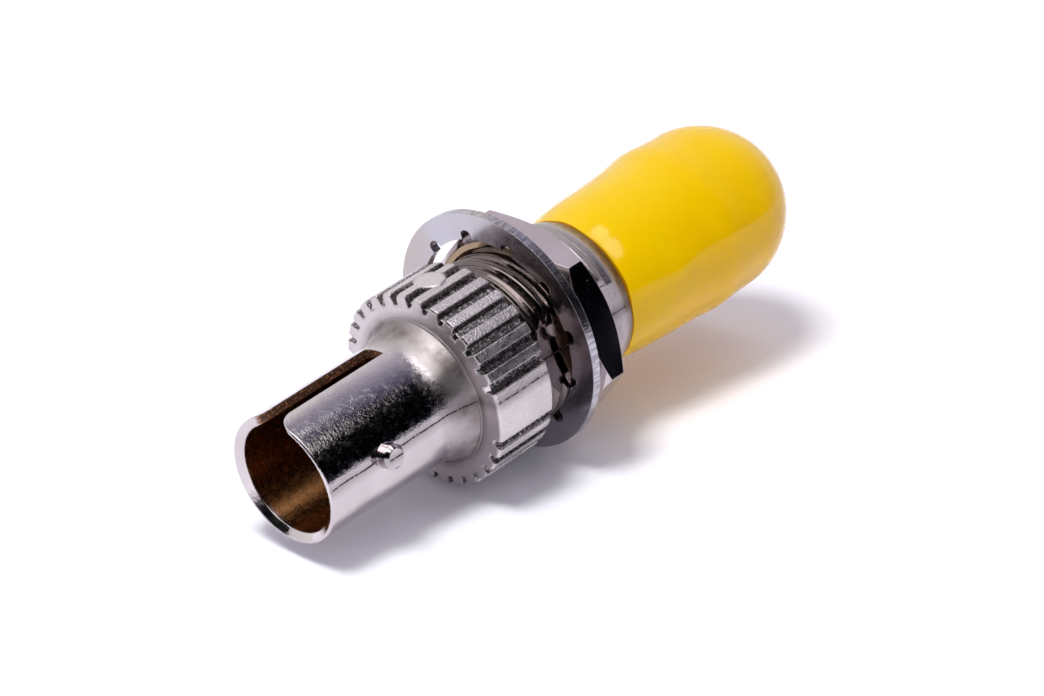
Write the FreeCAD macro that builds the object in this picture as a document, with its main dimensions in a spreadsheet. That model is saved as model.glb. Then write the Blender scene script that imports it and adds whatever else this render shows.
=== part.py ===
import FreeCAD, Part
import math
import os

import Sketcher

# Bayonet fibre adapter, panel type. X runs along the bore from the open front to the capped rear, and
# x = 0 is the face of the ribbed flange that seats on the panel. Z points through both keyways, and the
# bayonet lugs and the casting's parting plane lie along Y. All lengths are millimetres, angles degrees.

SIZES = (
    ("barrel_bore", 6.0),
    ("barrel_wall", 0.5),
    ("barrel_edge", 0.08),
    ("mouth_rim", 0.06),
    ("mouth_lead_depth", 0.3),
    ("recess_step", 0.25),
    ("front_barrel_length", 10.0),
    ("rear_barrel_length", 8.9),
    ("collar_rise", 0.15),
    ("collar_length", 0.8),
    ("root_bevel", 0.25),
    ("keyway_width", 1.4),
    ("keyway_depth", 7.7),
    ("keyway_mouth_radius", 1.2),
    ("lug_diameter", 1.3),
    ("lug_height", 0.7),
    ("lug_setback", 4.0),
    ("lug_edge", 0.18),
    ("flange_lip", 0.9),
    ("flange_length", 3.9),
    ("flange_edge", 0.12),
    ("groove_top_width", 0.62),
    ("groove_floor_width", 0.34),
    ("groove_depth_above", 0.42),
    ("groove_depth_below", 0.28),
    ("groove_run_out", 0.26),
    ("groove_pitch_angle", 12.0),
    ("groove_phase_angle", -3.0),
    ("gate_pad_diameter", 1.7),
    ("gate_pad_angle", 5.0),
    ("gate_pad_rise", 0.03),
    ("shank_od", 9.1),
    ("shank_length", 6.4),
    ("flat_depth", 0.35),
    ("shank_lead", 0.3),
    ("neck_depth", 0.2),
    ("neck_length", 0.8),
    ("web_front", 3.5),
    ("web_rear", 3.5),
    ("ferrule_bore", 2.5),
    ("sleeve_wall", 0.35),
    ("sleeve_length", 11.3),
    ("sleeve_slit", 0.5),
    ("sleeve_clearance", 0.06),
    ("sleeve_end_play", 0.05),
    ("tube_wall", 0.54),
    ("tube_lip_relief", 0.2),
    ("tube_lip_length", 0.5),
    ("retainer_flange", 0.4),
    ("retainer_seat", 2.6),
    ("nut_wall", 0.9),
    ("nut_length", 2.5),
    ("nut_position", 2.85),
    ("nut_clock_angle", 20.3),
    ("nut_front_inset", 0.3),
    ("nut_front_chamfer", 0.6),
    ("nut_rear_inset", 0.45),
    ("nut_rear_chamfer", 1.0),
    ("nut_countersink", 0.3),
    ("nut_clearance", 0.05),
    ("washer_play", 0.72),
    ("washer_band", 1.48),
    ("washer_length", 0.5),
    ("washer_gap", 0.25),
    ("washer_shift_y", 0.35),
    ("washer_shift_z", 0.41),
    ("notch_width", 0.75),
    ("notch_depth", 0.3),
    ("notch_root_radius", 0.45),
    ("notch_pitch_angle", 30.0),
    ("notch_phase_angle", 26.0),
    ("cap_gap", 1.15),
    ("cap_skin", 0.2),
    ("cap_belly_rise", 0.3),
    ("cap_belly_length", 10.35),
    ("cap_lip_bevel", 0.2),
    ("cap_clearance", 0.06),
    ("cap_end_wall", 1.4),
    ("cap_floor_od", 5.0),
    ("lug_channel_clearance", 0.05),
)

GROOVES_ABOVE = 14
GROOVES_BELOW = 12
GROOVES_SKIPPED = 2
WASHER_NOTCHES = 12
CUT_MARGIN = 1.0
ROOT_THREE = math.sqrt(3)


class Size:
    """A length or angle that carries its value and the expression that binds it to the sheet."""

    def __init__(self, text, value):
        self.text = text
        self.value = value

    def _join(self, sign, other, value):
        text = other.text if isinstance(other, Size) else repr(other)
        return Size("(" + self.text + " " + sign + " " + text + ")", value)

    def __add__(self, other):
        return self._join("+", other, self.value + number(other))

    def __sub__(self, other):
        return self._join("-", other, self.value - number(other))

    def __mul__(self, other):
        return self._join("*", other, self.value * number(other))

    def __truediv__(self, other):
        return self._join("/", other, self.value / number(other))

    def __neg__(self):
        return Size("(0 - " + self.text + ")", -self.value)


def number(thing):
    return thing.value if isinstance(thing, Size) else thing


doc = FreeCAD.newDocument("fibre_adapter")
sheet = doc.addObject("Spreadsheet::Sheet", "Sizes")
size = {}
for row, (alias, value) in enumerate(SIZES, start=1):
    sheet.set("A" + str(row), alias)
    sheet.set("B" + str(row), str(value))
    sheet.setAlias("B" + str(row), alias)
    size[alias] = Size("Sizes." + alias, value)
doc.recompute()


def new_body(label):
    body = doc.addObject("PartDesign::Body", label)
    body.Label = label
    return body


def new_sketch(body, name, plane, offset=(0, 0, 0), turn=None):
    """A sketch on one of the body's origin planes, moved in its axes and turned about its normal."""
    sketch = body.newObject("Sketcher::SketchObject", body.Name + "_" + name)
    support = [part for part in body.Origin.OriginFeatures if part.Role == plane][0]
    sketch.AttachmentSupport = [(support, "")]
    sketch.MapMode = "FlatFace"
    angle = number(turn) if turn is not None else 0
    place = FreeCAD.Vector(number(offset[0]), number(offset[1]), number(offset[2]))
    sketch.AttachmentOffset = FreeCAD.Placement(place, FreeCAD.Rotation(FreeCAD.Vector(0, 0, 1), angle))
    for axis, amount in zip("xyz", offset):
        if isinstance(amount, Size):
            sketch.setExpression("AttachmentOffset.Base." + axis, amount.text)
    if turn is not None:
        sketch.setExpression("AttachmentOffset.Rotation.Angle", turn.text)
    return sketch


def tilted(sketch, angle):
    """Turn a sketch's plane about the adapter's axis, which is the sketch's horizontal axis."""
    turn = FreeCAD.Rotation(FreeCAD.Vector(1, 0, 0), angle.value)
    sketch.AttachmentOffset = FreeCAD.Placement(FreeCAD.Vector(0, 0, 0), turn)
    sketch.setExpression("AttachmentOffset.Rotation.Angle", angle.text)


def hold(sketch, rules):
    """Add constraints together, each with the size that drives it or None."""
    indices = sketch.addConstraint([constraint for constraint, _ in rules])
    for index, (_, amount) in zip(indices, rules):
        if isinstance(amount, Size):
            sketch.setExpression("Constraints[" + str(index) + "]", amount.text)


def pinned(geometry, end, x, y):
    """Rules that hold one end of a curve at x, y, or on the sketch's axes where a coordinate is zero."""
    across = Sketcher.Constraint("DistanceX", -1, 1, geometry, end, number(x))
    up = Sketcher.Constraint("DistanceY", -1, 1, geometry, end, number(y))
    if number(x) == 0:
        across = Sketcher.Constraint("PointOnObject", geometry, end, -2)
    if number(y) == 0:
        up = Sketcher.Constraint("PointOnObject", geometry, end, -1)
    return [(across, x), (up, y)]


def arc_between(first, last, radius, left):
    """The shorter arc joining two points, run anticlockwise; left says if its centre is left of the chord."""
    chord = last - first
    half = chord.Length / 2
    rise = math.sqrt(max(radius * radius - half * half, 0)) * (1 if left else -1)
    centre = first + chord / 2 + FreeCAD.Vector(-chord.y, chord.x, 0).normalize() * rise
    start, stop = (first, last) if left else (last, first)
    start_angle = math.atan2(start.y - centre.y, start.x - centre.x)
    stop_angle = math.atan2(stop.y - centre.y, stop.x - centre.x)
    if stop_angle < start_angle:
        stop_angle += 2 * math.pi
    ring = Part.Circle(centre, FreeCAD.Vector(0, 0, 1), radius)
    return Part.ArcOfCircle(ring, start_angle, stop_angle)


def closed_wire(sketch, points, arcs=None):
    """A closed outline through pinned points; arcs maps a segment's index to its radius and centre side."""
    arcs = arcs or {}
    corners = [FreeCAD.Vector(number(x), number(y), 0) for x, y in points]
    ends = []
    for index, first in enumerate(corners):
        last = corners[(index + 1) % len(corners)]
        if index in arcs:
            radius, left = arcs[index]
            geometry = sketch.addGeometry(arc_between(first, last, number(radius), left), False)
            ends.append((geometry, 1, 2) if left else (geometry, 2, 1))
        else:
            geometry = sketch.addGeometry(Part.LineSegment(first, last), False)
            ends.append((geometry, 1, 2))
    rules = []
    for index, (geometry, first_end, _) in enumerate(ends):
        previous, _, last_end = ends[index - 1]
        rules.append((Sketcher.Constraint("Coincident", previous, last_end, geometry, first_end), None))
        rules.extend(pinned(geometry, first_end, *points[index]))
    for index, (radius, _) in arcs.items():
        rules.append((Sketcher.Constraint("Radius", ends[index][0], number(radius)), radius))
    hold(sketch, rules)


def circle(sketch, diameter, x=0, y=0):
    centre = FreeCAD.Vector(number(x), number(y), 0)
    geometry = sketch.addGeometry(Part.Circle(centre, FreeCAD.Vector(0, 0, 1), number(diameter) / 2), False)
    across = Sketcher.Constraint("Diameter", geometry, number(diameter))
    hold(sketch, pinned(geometry, 3, x, y) + [(across, diameter)])


def finish_feature(body, feature, adds):
    """Rebuild, and stop if the feature failed or moved the volume the wrong way."""
    body.Tip = feature
    doc.recompute()
    before = feature.BaseFeature.Shape.Volume if feature.BaseFeature else 0.0
    after = feature.Shape.Volume
    if "Invalid" in feature.State or "Error" in feature.State or (after > before) != adds:
        raise RuntimeError(feature.Name + " did not build as meant")
    return feature


def turned(body, sketch, name, adds):
    """A solid, or a cut, swept round the sketch's horizontal axis, which is the adapter's axis."""
    doc.recompute()
    kind = "PartDesign::Revolution" if adds else "PartDesign::Groove"
    feature = body.newObject(kind, body.Name + "_" + name)
    feature.Profile = sketch
    feature.ReferenceAxis = (sketch, ["H_Axis"])
    feature.Angle = 360
    return finish_feature(body, feature, adds)


def extruded(body, sketch, name, length, adds, both_ways=False, reverse=False):
    doc.recompute()
    kind = "PartDesign::Pad" if adds else "PartDesign::Pocket"
    feature = body.newObject(kind, body.Name + "_" + name)
    feature.Profile = sketch
    feature.Length = number(length)
    feature.setExpression("Length", length.text)
    feature.Midplane = both_ways
    feature.Reversed = reverse
    return finish_feature(body, feature, adds)


def ringed(body, originals, name, axis, count, sweep, adds):
    feature = body.newObject("PartDesign::PolarPattern", body.Name + "_" + name)
    feature.Originals = originals
    feature.Axis = axis
    feature.Angle = number(sweep)
    feature.setExpression("Angle", sweep.text)
    feature.Occurrences = int(count)
    return finish_feature(body, feature, adds)


def rim_edges(shape, x, radius):
    """Names of the full circles about the axis at a station and radius."""
    names = []
    for index, edge in enumerate(shape.Edges, start=1):
        curve = edge.Curve
        if not isinstance(curve, Part.Circle) or abs(curve.Radius - radius) > 1e-4:
            continue
        if abs(curve.Center.x - x) < 1e-4:
            names.append("Edge" + str(index))
    return names


def bevelled(body, base, name, edges, width):
    feature = body.newObject("PartDesign::Chamfer", body.Name + "_" + name)
    feature.Base = (base, edges)
    feature.Size = number(width)
    feature.setExpression("Size", width.text)
    return finish_feature(body, feature, False)


# Stations along the axis and shared radii, all from the sheet.
flange_front = -size["flange_length"]
front_mouth = flange_front - size["front_barrel_length"]
shank_end = size["shank_length"]
rear_mouth = shank_end + size["rear_barrel_length"]
middle = (front_mouth + rear_mouth) / 2
bore_radius = size["barrel_bore"] / 2
recess_radius = bore_radius - size["recess_step"]
barrel_radius = bore_radius + size["barrel_wall"]
collar_radius = barrel_radius + size["collar_rise"]
shank_radius = size["shank_od"] / 2
neck_radius = shank_radius - size["neck_depth"]
flange_radius = shank_radius + size["flange_lip"]
ferrule_radius = size["ferrule_bore"] / 2
sleeve_radius = ferrule_radius + size["sleeve_wall"]
tube_bore_radius = sleeve_radius + size["sleeve_clearance"]
tube_radius = tube_bore_radius + size["tube_wall"]
retainer_radius = tube_radius + size["retainer_flange"]
lip_radius = ferrule_radius + size["tube_lip_relief"]
lug_radius = size["lug_diameter"] / 2
lug_tip = barrel_radius + size["lug_height"]
sleeve_front = middle - size["sleeve_length"] / 2
sleeve_rear = middle + size["sleeve_length"] / 2
sleeve_stop_front = sleeve_front - size["sleeve_end_play"]
sleeve_stop_rear = sleeve_rear + size["sleeve_end_play"]
tube_front = sleeve_stop_front - size["tube_lip_length"]
tube_rear = sleeve_stop_rear + size["tube_lip_length"]
retainer_front = size["web_rear"] - size["retainer_seat"]
front_lug = front_mouth + size["lug_setback"]
rear_lug = rear_mouth - size["lug_setback"]


def cast_housing():
    """One die casting: two bayonet barrels, the ribbed flange and the flatted shank, bored right through."""
    body = new_body("adapter_housing")
    edge = size["barrel_edge"]
    rim = size["flange_edge"]
    lead = size["shank_lead"]
    bevel = size["root_bevel"]
    collar_front = flange_front - size["collar_length"]
    profile = new_sketch(body, "outline", "XZ_Plane")
    closed_wire(profile, [
        (front_mouth, 0), (front_mouth, barrel_radius - edge), (front_mouth + edge, barrel_radius),
        (collar_front - size["collar_rise"], barrel_radius), (collar_front, collar_radius),
        (flange_front - bevel, collar_radius), (flange_front, collar_radius + bevel),
        (flange_front, flange_radius - rim), (flange_front + rim, flange_radius),
        (-rim, flange_radius), (0, flange_radius - rim), (0, neck_radius),
        (size["neck_length"], neck_radius), (size["neck_length"] + size["neck_depth"], shank_radius),
        (shank_end - lead, shank_radius), (shank_end, shank_radius - lead), (shank_end, barrel_radius),
        (rear_mouth - edge, barrel_radius), (rear_mouth, barrel_radius - edge), (rear_mouth, 0),
    ])
    turned(body, profile, "blank", True)

    flats = new_sketch(body, "flats", "YZ_Plane")
    half = shank_radius - size["flat_depth"]
    beyond = flange_radius + CUT_MARGIN
    closed_wire(flats, [(half, -beyond), (beyond, -beyond), (beyond, beyond), (half, beyond)])
    closed_wire(flats, [(-beyond, -beyond), (-half, -beyond), (-half, beyond), (-beyond, beyond)])
    extruded(body, flats, "flat_cut", shank_end, False, reverse=True)

    axis = [part for part in body.Origin.OriginFeatures if part.Role == "X_Axis"][0]
    pitch = size["groove_pitch_angle"]
    first_above = size["groove_phase_angle"] - pitch * (GROOVES_ABOVE // 2 - 1)
    first_below = first_above + pitch * (GROOVES_ABOVE + GROOVES_SKIPPED)
    flare = (size["groove_top_width"] - size["groove_floor_width"]) / 2
    wide = size["groove_floor_width"] / 2 + flare * 2
    narrow = size["groove_floor_width"] / 2
    run_out = flange_front + size["groove_run_out"]
    for name, first, count in (("above", first_above, GROOVES_ABOVE), ("below", first_below, GROOVES_BELOW)):
        depth = size["groove_depth_" + name]
        floor = flange_radius - depth
        outer = flange_radius + depth
        groove = new_sketch(body, "groove_" + name, "YZ_Plane", turn=first)
        closed_wire(groove, [(-narrow, floor), (narrow, floor), (wide, outer), (-wide, outer)])
        cut = extruded(body, groove, "groove_cut_" + name, size["flange_length"], False)
        slope = new_sketch(body, "run_out_" + name, "XZ_Plane")
        tilted(slope, first)
        closed_wire(slope, [(flange_front, floor - size["groove_run_out"]), (run_out, floor),
                            (run_out, outer), (flange_front, outer)])
        ramp = extruded(body, slope, "run_out_cut_" + name, size["groove_floor_width"], False, both_ways=True)
        ringed(body, [cut, ramp], "grooves_" + name, (axis, [""]), count, pitch * (count - 1), False)

    pad = new_sketch(body, "gate_pad", "XY_Plane")
    tilted(pad, size["gate_pad_angle"])
    circle(pad, size["gate_pad_diameter"], flange_front / 2)
    extruded(body, pad, "gate_boss", flange_radius + size["gate_pad_rise"], True)

    for name, station in (("front", front_lug), ("rear", rear_lug)):
        lug = new_sketch(body, "lug_" + name, "XZ_Plane")
        circle(lug, size["lug_diameter"], station)
        post = extruded(body, lug, "lugs_" + name, lug_tip * 2, True, both_ways=True)
        bevelled(body, post, "lug_edges_" + name, rim_edges(post.Shape, station.value, lug_radius.value),
                 size["lug_edge"])

    lead_radius = barrel_radius - edge - size["mouth_rim"]
    lead_depth = size["mouth_lead_depth"]
    bore = new_sketch(body, "bore", "XZ_Plane")
    closed_wire(bore, [
        (front_mouth, 0), (front_mouth, lead_radius), (front_mouth + lead_depth, bore_radius),
        (tube_front, bore_radius), (tube_front, recess_radius), (-size["web_front"], recess_radius),
        (-size["web_front"], tube_radius), (tube_front, tube_radius),
        (tube_front, lip_radius), (sleeve_stop_front, lip_radius), (sleeve_stop_front, tube_bore_radius),
        (retainer_front, tube_bore_radius), (retainer_front, retainer_radius),
        (size["web_rear"], retainer_radius), (size["web_rear"], recess_radius), (tube_rear, recess_radius),
        (tube_rear, bore_radius), (rear_mouth - lead_depth, bore_radius), (rear_mouth, lead_radius),
        (rear_mouth, 0),
    ])
    turned(body, bore, "bores", False)

    half = size["keyway_width"] / 2
    mouth = size["keyway_mouth_radius"]
    for name, end, sense in (("front", front_mouth, 1), ("rear", rear_mouth, -1)):
        keyway = new_sketch(body, "keyway_" + name, "XY_Plane")
        depth = size["keyway_depth"] * sense
        turn_in = mouth * sense
        past = end - CUT_MARGIN * sense
        closed_wire(keyway, [
            (end + depth, half), (end + depth, -half), (end + turn_in, -half), (end, -(half + mouth)),
            (past, -(half + mouth)), (past, half + mouth), (end, half + mouth), (end + turn_in, half),
        ], {2: (mouth, sense > 0), 6: (mouth, sense > 0)})
        extruded(body, keyway, "keyway_cut_" + name, barrel_radius + CUT_MARGIN, False, reverse=True)
    return body


def rolled_sleeve():
    """The springy alignment sleeve, a tube slit along its length."""
    body = new_body("split_sleeve")
    ring = new_sketch(body, "section", "YZ_Plane", offset=(0, 0, sleeve_front))
    circle(ring, sleeve_radius * 2)
    circle(ring, size["ferrule_bore"])
    extruded(body, ring, "tube", size["sleeve_length"], True)
    slit = new_sketch(body, "slit", "XY_Plane")
    half = size["sleeve_slit"] / 2
    closed_wire(slit, [(sleeve_front - CUT_MARGIN, -half), (sleeve_rear + CUT_MARGIN, -half),
                       (sleeve_rear + CUT_MARGIN, half), (sleeve_front - CUT_MARGIN, half)])
    extruded(body, slit, "slit_cut", sleeve_radius * 2, False, reverse=True)
    return body


def turned_retainer():
    """The tube pressed in from the rear that traps the sleeve."""
    body = new_body("sleeve_retainer")
    profile = new_sketch(body, "outline", "XZ_Plane")
    closed_wire(profile, [
        (retainer_front, tube_bore_radius), (retainer_front, retainer_radius),
        (size["web_rear"], retainer_radius), (size["web_rear"], tube_radius), (tube_rear, tube_radius),
        (tube_rear, lip_radius), (sleeve_stop_rear, lip_radius), (sleeve_stop_rear, tube_bore_radius),
    ])
    turned(body, profile, "blank", True)
    return body


nut_front = size["nut_position"]
nut_rear = nut_front + size["nut_length"]
nut_bore_radius = shank_radius + size["nut_clearance"]
washer_front = nut_front - size["washer_gap"] - size["washer_length"]
washer_bore_radius = shank_radius + size["washer_play"]


def stamped_washer():
    """Internal-tooth lock washer, loose on the shank and lying to one side of it."""
    body = new_body("lock_washer")
    centre = (size["washer_shift_y"], size["washer_shift_z"], washer_front)
    ring = new_sketch(body, "ring", "YZ_Plane", offset=centre)
    circle(ring, (washer_bore_radius + size["washer_band"]) * 2)
    circle(ring, washer_bore_radius * 2)
    extruded(body, ring, "blank", size["washer_length"], True)
    notch = new_sketch(body, "notch", "YZ_Plane", offset=centre, turn=size["notch_phase_angle"])
    half = size["notch_width"] / 2
    inner = washer_bore_radius - CUT_MARGIN
    root = washer_bore_radius + size["notch_depth"]
    arc = {2: (size["notch_root_radius"], True)}
    closed_wire(notch, [(-half, inner), (half, inner), (half, root), (-half, root)], arc)
    cut = extruded(body, notch, "notch_cut", size["washer_length"], False, reverse=True)
    sweep = size["notch_pitch_angle"] * (WASHER_NOTCHES - 1)
    ringed(body, [cut], "notches", (notch, ["N_Axis"]), WASHER_NOTCHES, sweep, False)
    return body


def hexagon_nut():
    """Jam nut, chamfered on both faces and countersunk at both ends of its bore."""
    body = new_body("hex_nut")
    flat = nut_bore_radius + size["nut_wall"]
    corner = flat * 2 / ROOT_THREE
    section = new_sketch(body, "section", "YZ_Plane", offset=(0, 0, nut_front), turn=size["nut_clock_angle"])
    closed_wire(section, [(corner, 0), (corner / 2, flat), (-(corner / 2), flat),
                          (-corner, 0), (-(corner / 2), -flat), (corner / 2, -flat)])
    circle(section, nut_bore_radius * 2)
    extruded(body, section, "blank", size["nut_length"], True)
    front_face = flat - size["nut_front_inset"]
    rear_face = flat - size["nut_rear_inset"]
    sink = size["nut_countersink"]
    front = size["nut_front_chamfer"]
    rear = size["nut_rear_chamfer"]
    trims = new_sketch(body, "trims", "XZ_Plane")
    beyond = corner + CUT_MARGIN
    closed_wire(trims, [(nut_front, front_face), (nut_front + front, corner), (nut_front + front, beyond),
                        (nut_front, beyond)])
    closed_wire(trims, [(nut_rear, rear_face), (nut_rear, beyond), (nut_rear - rear, beyond),
                        (nut_rear - rear, corner)])
    closed_wire(trims, [(nut_front, nut_bore_radius - sink), (nut_front + sink * 2, nut_bore_radius - sink),
                        (nut_front, nut_bore_radius + sink)])
    closed_wire(trims, [(nut_rear, nut_bore_radius - sink), (nut_rear, nut_bore_radius + sink),
                        (nut_rear - sink * 2, nut_bore_radius - sink)])
    turned(body, trims, "chamfers", False)
    return body


def dipped_cap():
    """Soft vinyl cap over the rear barrel, with a waist at its lip, a fuller belly and a domed end."""
    body = new_body("dust_cap")
    lip = shank_end + size["cap_gap"]
    channel_floor = lug_tip + size["lug_channel_clearance"]
    lip_outer = channel_floor + size["cap_skin"]
    belly = lip_outer + size["cap_belly_rise"]
    belly_end = lip + size["cap_belly_length"]
    tip = belly_end + belly
    bore = barrel_radius + size["cap_clearance"]
    soft = size["cap_lip_bevel"]
    inner_tip = tip - size["cap_end_wall"]
    profile = new_sketch(body, "outline", "XZ_Plane")
    closed_wire(profile, [
        (lip, bore), (belly_end, bore), (inner_tip, size["cap_floor_od"] / 2), (inner_tip, 0),
        (tip, 0), (belly_end, belly), (lip + soft, lip_outer), (lip, lip_outer - soft),
    ], {4: (belly, True)})
    turned(body, profile, "skin", True)

    room = lug_radius + size["cap_clearance"]
    channel = new_sketch(body, "lug_channel", "YZ_Plane", offset=(0, 0, lip))
    closed_wire(channel, [(-channel_floor, -room), (channel_floor, -room), (channel_floor, room),
                          (-channel_floor, room)])
    extruded(body, channel, "lug_channels", rear_lug + room - lip, False, reverse=True)
    return body


housing = cast_housing()
sleeve = rolled_sleeve()
retainer = turned_retainer()
washer = stamped_washer()
nut = hexagon_nut()
cap = dipped_cap()
pieces = [housing, sleeve, retainer, washer, nut, cap]

os.makedirs("parts", exist_ok=True)
for piece in pieces:
    if "Invalid" in piece.State or piece.Shape.isNull() or not piece.Shape.isValid():
        raise RuntimeError(piece.Label + " is not a valid solid")
    piece.Shape.exportStep("parts/" + piece.Label + ".step")
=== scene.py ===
"""Looks for a bayonet fibre adapter: plated casting, washer, hexagon nut and vinyl cap on a pale floor."""

import math
from types import SimpleNamespace

import bmesh
import bpy
import numpy as np
from bpy.props import FloatProperty, FloatVectorProperty, PointerProperty
from mathutils import Matrix, Vector


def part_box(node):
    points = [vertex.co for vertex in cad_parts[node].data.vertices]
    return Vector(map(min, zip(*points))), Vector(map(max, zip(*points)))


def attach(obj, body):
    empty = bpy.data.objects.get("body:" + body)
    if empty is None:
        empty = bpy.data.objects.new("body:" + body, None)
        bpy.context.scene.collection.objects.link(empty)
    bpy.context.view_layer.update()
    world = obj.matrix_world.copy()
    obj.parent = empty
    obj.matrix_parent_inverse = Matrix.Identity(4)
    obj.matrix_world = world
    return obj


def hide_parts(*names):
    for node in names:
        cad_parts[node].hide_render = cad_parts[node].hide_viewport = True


bl_info = {
    "name": "Fibre adapter looks",
    "version": (1, 0, 0),
    "blender": (4, 5, 0),
    "location": "View3D > Sidebar > Adapter",
    "description": "Dresses a packed fibre adapter with plated metal, dipped vinyl and a studio stage",
    "category": "Object",
}

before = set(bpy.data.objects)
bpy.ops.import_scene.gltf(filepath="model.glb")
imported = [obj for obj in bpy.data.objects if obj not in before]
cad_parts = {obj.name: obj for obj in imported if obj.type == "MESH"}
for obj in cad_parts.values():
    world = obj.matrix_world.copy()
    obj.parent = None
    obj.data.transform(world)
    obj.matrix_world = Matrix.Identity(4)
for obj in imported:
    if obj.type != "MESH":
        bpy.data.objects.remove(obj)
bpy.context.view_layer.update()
MM = 0.001
WHITE = (1.0, 1.0, 1.0, 1.0)
FULL_TURN = 2 * math.pi
SENSOR_MM = 36

# Places on the housing, from the axis and from the panel face at x = 0.
BARREL_RADIUS = 3.5 * MM
FLANGE_FRONT = -3.9 * MM

# Steps of the turned surfaces, fine enough that no facet shows on a rim.
THREAD_STATIONS, THREAD_ANGLES = 140, 360
COLLAR_STATIONS, COLLAR_ANGLES = 40, 240
CAP_STATIONS, CAP_ANGLES = 70, 160
# Points of one surface that lie closer than this are one point, as all those at a pole are.
POINT_GAP = 1e-7
# Waves in the dipped skin: height, turns round the axis and radians for each metre along it.
DIP_WAVES = ((0.02 * MM, 2, 400), (0.015 * MM, 3, -900))
# Waves in the trimmed lip: height, turns round the axis and start in radians.
LIP_WAVES = ((0.03 * MM, 5, 0), (0.02 * MM, 11, 1))

# Where the lamps hang, and how the window lies: shares of an upward direction, of the level line to the
# right and of the level line to the camera's side.
OVERHEAD = (0.8, -0.36, 0.48)
STEEP = (1.0, -0.24, 0.27)
BESIDE = (0.953, 0.3, -0.01)
WINDOW_WAY = (-0.26, 0.72, 0.67)

# Ramps that part the casting into zones: what is measured, where the ramp begins and where it is full.
# The flange is 5.45 mm in radius with grooves up to 0.42 mm deep, and the barrels 3.5 mm with a 3.0 mm bore.
# The front mouth lies at x = -13.9 mm, and the nut between x = 2.85 mm and 5.35 mm.
CASTING_RAMPS = {
    "side": ("facing", 0.6, 0.4),
    "ribbed": ("radius", 4.88 * MM, 4.96 * MM),
    "sunken": ("radius", 5.42 * MM, 5.3 * MM),
    "behind_flange": ("x", 0.0, 0.15 * MM),
    "up_to_nut": ("x", 4.2 * MM, 3.2 * MM),
    "behind_nut": ("x", 5.2 * MM, 5.4 * MM),
    "off_barrel": ("radius", 4.0 * MM, 4.1 * MM),
    "flaring": ("x", -6.6 * MM, -4.6 * MM),
    "ahead_of_ribs": ("x", -3.8 * MM, -3.88 * MM),
    "outside": ("radius", 3.2 * MM, 3.4 * MM),
    "creased": ("radius", 4.6 * MM, 4.0 * MM),
    "near_flange": ("x", -6.2 * MM, -4.6 * MM),
    "within": ("radius", 3.48 * MM, 3.43 * MM),
    "past_mouth": ("x", -13.62 * MM, -13.35 * MM),
    "off_bore": ("radius", 3.02 * MM, 3.07 * MM),
    "outer": ("radius", 3.47 * MM, 3.49 * MM),
}
# Zones that are products of ramps. The barrel's polish dies away on the collar and the flange's front. The
# nose is the shank's end behind the nut, left as cast. Inside are the bores behind the mouth's bright cone.
CASTING_ZONES = {
    "band": ("ribbed", "side"),
    "groove": ("sunken", "band"),
    "shank": ("behind_flange", "up_to_nut"),
    "nose": ("behind_nut", "off_barrel"),
    "collar": ("flaring", "ahead_of_ribs", "outside"),
    "hollow": ("creased", "near_flange", "ahead_of_ribs", "outside"),
    "inside": ("within", "past_mouth"),
    "wall": ("off_bore", "inside"),
}
# Roughness that each zone adds to the polished plate's.
CASTING_ROUGHNESS = {"band": 0.19, "collar": 0.3, "inside": 0.16, "wall": 0.25, "seam": 0.3, "nose": 0.2}


def linear(hex_colour):
    """An sRGB hex colour as linear RGBA, by the two pieces of the sRGB curve."""
    parts = np.array([int(hex_colour[i:i + 2], 16) for i in (1, 3, 5)]) / 255
    flat = np.where(parts <= 0.04045, parts / 12.92, ((parts + 0.055) / 1.055) ** 2.4)
    return (*flat.tolist(), 1.0)


def length(name, description, default):
    """A length property whose default is given in millimetres."""
    return FloatProperty(name=name, description=description, default=default * MM, unit="LENGTH",
                         precision=5)


def colour(name, description, default):
    """A colour property whose default is given as an sRGB hex value."""
    return FloatVectorProperty(name=name, description=description, default=linear(default), size=4,
                               subtype="COLOR", min=0.0, max=1.0)


def angle(name, description, default):
    """An angle property whose default is given in degrees."""
    return FloatProperty(name=name, description=description, default=math.radians(default), subtype="ANGLE")


def power(name, description, default):
    """A lamp's power property, in watts."""
    return FloatProperty(name=name, description=description, default=default, unit="POWER")


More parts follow.
